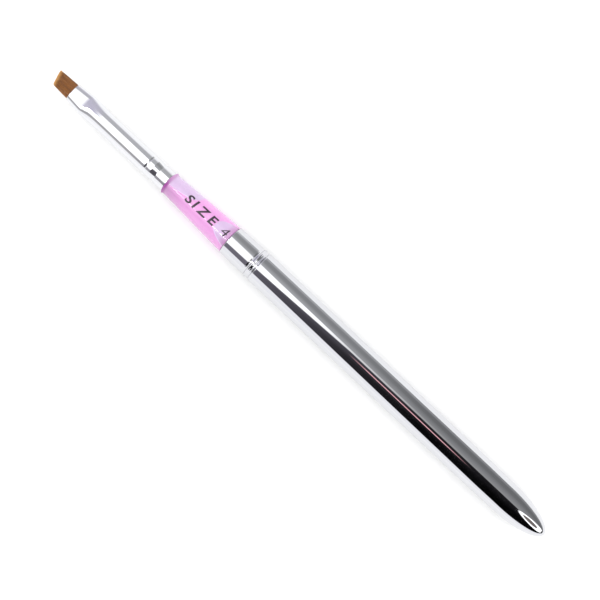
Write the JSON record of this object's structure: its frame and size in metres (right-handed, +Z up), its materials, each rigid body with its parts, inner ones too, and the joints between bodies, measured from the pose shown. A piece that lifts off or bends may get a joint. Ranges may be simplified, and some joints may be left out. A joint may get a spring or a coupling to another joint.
{
  "type": "acrylic nail brush",
  "caption": "Flat slanted nail brush: pressed silver ferrule, tapered pearl acrylic grip and a hollow chrome handle that pulls off.",
  "frame": {"origin": "centre of the brush's length and width, on the surface that it lies on", "axes": "+X along the brush from the bristles to the rounded tail, +Y across the width of the flat bristles, towards their long corner, +Z up, square to the flat of the bristles"},
  "size_m": [0.1758, 0.0092, 0.0092],
  "materials": {
    "bristles": "satin",
    "thread": "matte",
    "resin": "gloss",
    "ferrule_metal": "polished",
    "acrylic": "gloss",
    "liner_plastic": "satin",
    "barrel_chrome": "polished"
  },
  "bodies": {
    "handle": {"barrel": "barrel_chrome"},
    "sleeve": {"barrel_liner": "liner_plastic"},
    "head": {"grip": "acrylic", "ferrule": "ferrule_metal", "root_resin": "resin", "binding_thread": "thread", "tuft_root": "bristles"},
    "bristles": {"bristle_tuft": "bristles"}
  },
  "joints": [
    {"name": "head_twist", "type": "hinge", "parent": "handle", "child": "sleeve", "pos_m": [-0.0245, 0, 0.00462], "axis": [1, 0, 0], "continuous": true},
    {"name": "head_pull", "type": "slide", "parent": "sleeve", "child": "head", "axis": [-1, 0, 0], "range_m": [0, 0.024]},
    {"name": "bristle_bend", "type": "hinge", "parent": "head", "child": "bristles", "pos_m": [-0.08145, 0, 0.00462], "axis": [0, 1, 0], "range_deg": [-30, 30], "stiffness_Nm_per_rad": 0.004}
  ]
}
